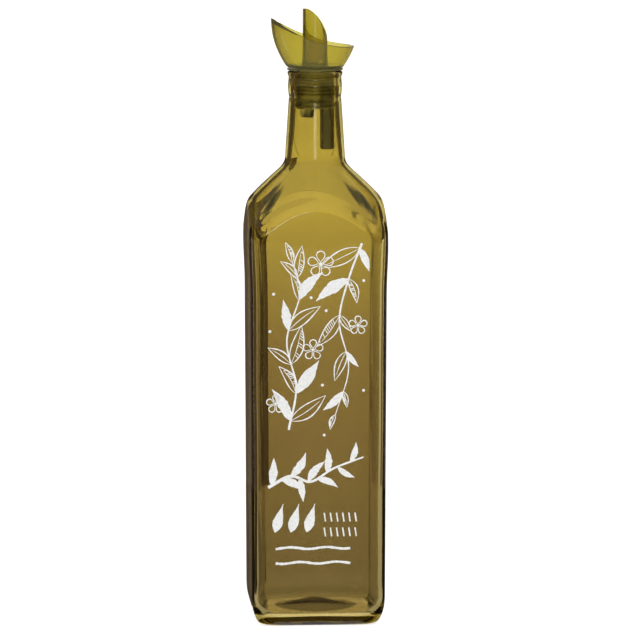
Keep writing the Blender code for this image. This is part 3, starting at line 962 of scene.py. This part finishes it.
def make_sweep(studio):
    """A wide round floor that curves up into a low wall, all of it softly glowing paper."""
    profile = [(0.001, 0), (2, 0), (6, 0), (9, 0)]
    for turn in between(0, pi / 2, 12):
        profile.append((9 + 1.2 * sin(turn), 1.2 * (1 - cos(turn))))
    profile.append((10.2, 2.4))
    angles = [tau * i / 96 for i in range(96)]
    mesh = bmesh.new()
    rings = [[mesh.verts.new(p) for p in ring_of(angles, z, radius)] for radius, z in profile]
    join_rings(mesh, rings, closed=False)
    mesh.faces.new(reversed(rings[0]))
    data = mesh_data("sweep", mesh)
    data.shade_smooth()
    material, nodes, links = new_material("pale paper")
    paper = nodes["Principled BSDF"]
    paper.inputs["Base Color"].default_value = (*studio.sweep, 1)
    paper.inputs["Roughness"].default_value = 0.9
    paper.inputs["Specular IOR Level"].default_value = 0.1
    paper.inputs["Emission Color"].default_value = (1, 1, 1, 1)
    links.new(glow_outside_foot(nodes, links, studio), paper.inputs["Emission Strength"])
    data.materials.append(material)
    sweep = add_object("sweep", data)


def glow_outside_foot(nodes, links, studio):
    """The paper's glow, which is weaker under the bottle's foot as painted shade."""
    size = nodes.new("ShaderNodeVectorMath")
    size.operation = "ABSOLUTE"
    split = nodes.new("ShaderNodeSeparateXYZ")
    widest = nodes.new("ShaderNodeMath")
    widest.operation = "MAXIMUM"
    glow = nodes.new("ShaderNodeMapRange")
    glow.inputs["From Min"].default_value = 26 * MM
    glow.inputs["From Max"].default_value = 34 * MM
    glow.inputs["To Min"].default_value = studio.foot_glow * studio.glow
    glow.inputs["To Max"].default_value = studio.glow
    links.new(place_of(nodes), size.inputs[0])
    links.new(size.outputs["Vector"], split.inputs["Vector"])
    links.new(split.outputs["X"], widest.inputs[0])
    links.new(split.outputs["Y"], widest.inputs[1])
    links.new(widest.outputs["Value"], glow.inputs["Value"])
    return glow.outputs["Result"]


def fan(azimuths, profile):
    """Rows of points along (radius, height) points, between azimuths in degrees from straight behind."""
    turns = [radians(a) for a in between(*azimuths, 24)]
    return [[(radius * sin(a), radius * cos(a), z) for a in turns] for radius, z in profile]


def make_flag(name, rows, through, tone=1):
    """A dark brown card over rows of points, which only the glass sees.

    It shows only in the glass's shine, or through the glass as well.
    """
    mesh = bmesh.new()
    rows = [[mesh.verts.new(p) for p in row] for row in rows]
    for near, far in zip(rows, rows[1:]):
        for i in range(len(near) - 1):
            mesh.faces.new((near[i], near[i + 1], far[i + 1], far[i]))
    data = mesh_data(name, mesh)
    material, nodes, _ = new_material(name)
    brown = [tone * part for part in (0.15, 0.112, 0.075)]
    nodes["Principled BSDF"].inputs["Base Color"].default_value = (*brown, 1)
    nodes["Principled BSDF"].inputs["Roughness"].default_value = 0.8
    nodes["Principled BSDF"].inputs["Specular IOR Level"].default_value = 0
    data.materials.append(material)
    flag = add_object(name, data)
    flag.visible_camera = False
    flag.visible_diffuse = False
    flag.visible_shadow = False
    flag.visible_transmission = through


def add_light(name, place, aim, size, power):
    """A soft rectangular light that looks at a point."""
    data = bpy.data.lights.new(name, "AREA")
    data.shape = "RECTANGLE"
    data.size, data.size_y = size
    data.energy = power
    light = add_object(name, data)
    light.location = place
    light.rotation_euler = (Vector(aim) - Vector(place)).to_track_quat("-Z", "Y").to_euler()


def make_lights(studio):
    """An even sky, and one small light for the shine on the neck."""
    world = bpy.data.worlds.new("studio")
    world.use_nodes = True
    world.node_tree.nodes["Background"].inputs["Color"].default_value = (1, 1, 1, 1)
    world.node_tree.nodes["Background"].inputs["Strength"].default_value = studio.sky
    bpy.context.scene.world = world
    add_light("front_strip", (-0.06, -1, 0.305), (0, 0, 0.305), (0.2, 0.08), studio.strip)


def make_camera(studio):
    """The camera at the photograph's place."""
    data = bpy.data.cameras.new("camera")
    data.lens = studio.lens
    data.sensor_width = 36
    aim = Vector((0, 0, studio.aim))
    level = cos(studio.elevation)
    away = Vector((sin(studio.azimuth) * level, -cos(studio.azimuth) * level, sin(studio.elevation)))
    camera = add_object("camera", data)
    camera.location = aim + away * studio.distance
    camera.rotation_euler = (-away).to_track_quat("-Z", "Y").to_euler()
    bpy.context.scene.camera = camera


class OILBOTTLE_PT_panel(bpy.types.Panel):
    """Sizes, colours and pieces of the oil bottle"""

    bl_label = "Oil bottle"
    bl_idname = "OILBOTTLE_PT_panel"
    bl_space_type = "VIEW_3D"
    bl_region_type = "UI"
    bl_category = "Oil bottle"

    def draw(self, context):
        scene = context.scene
        for operator in PIECES:
            self.layout.operator(operator.bl_idname)
        for title, group in GROUPS.items():
            box = self.layout.box()
            box.label(text=title)
            for name in group[1].__annotations__:
                box.prop(getattr(scene, group[0]), name)


PIECES = [
    OILBOTTLE_OT_glass,
    OILBOTTLE_OT_cup,
    OILBOTTLE_OT_plug,
    OILBOTTLE_OT_print,
    OILBOTTLE_OT_stage,
]
GROUPS = {
    "Glass": ("bottle_form", BottleForm),
    "Pourer": ("pourer_form", PourerForm),
    "Print": ("print_form", PrintForm),
    "Studio": ("oil_studio", Studio),
}


def register():
    """Registers the groups of properties, the operators and the panel."""
    for name, group in GROUPS.values():
        bpy.utils.register_class(group)
        setattr(bpy.types.Scene, name, PointerProperty(type=group))
    for made in PIECES + [OILBOTTLE_PT_panel]:
        bpy.utils.register_class(made)


def unregister():
    """Takes them out again, in the opposite order."""
    for made in reversed(PIECES + [OILBOTTLE_PT_panel]):
        bpy.utils.unregister_class(made)
    for name, group in GROUPS.values():
        delattr(bpy.types.Scene, name)
        bpy.utils.unregister_class(group)


def main():
    """Makes every piece and the stage."""
    register()
    bpy.ops.oilbottle.glass()
    bpy.ops.oilbottle.cup()
    bpy.ops.oilbottle.plug()
    bpy.ops.oilbottle.print()
    bpy.ops.oilbottle.stage()


if __name__ == "__main__":
    main()
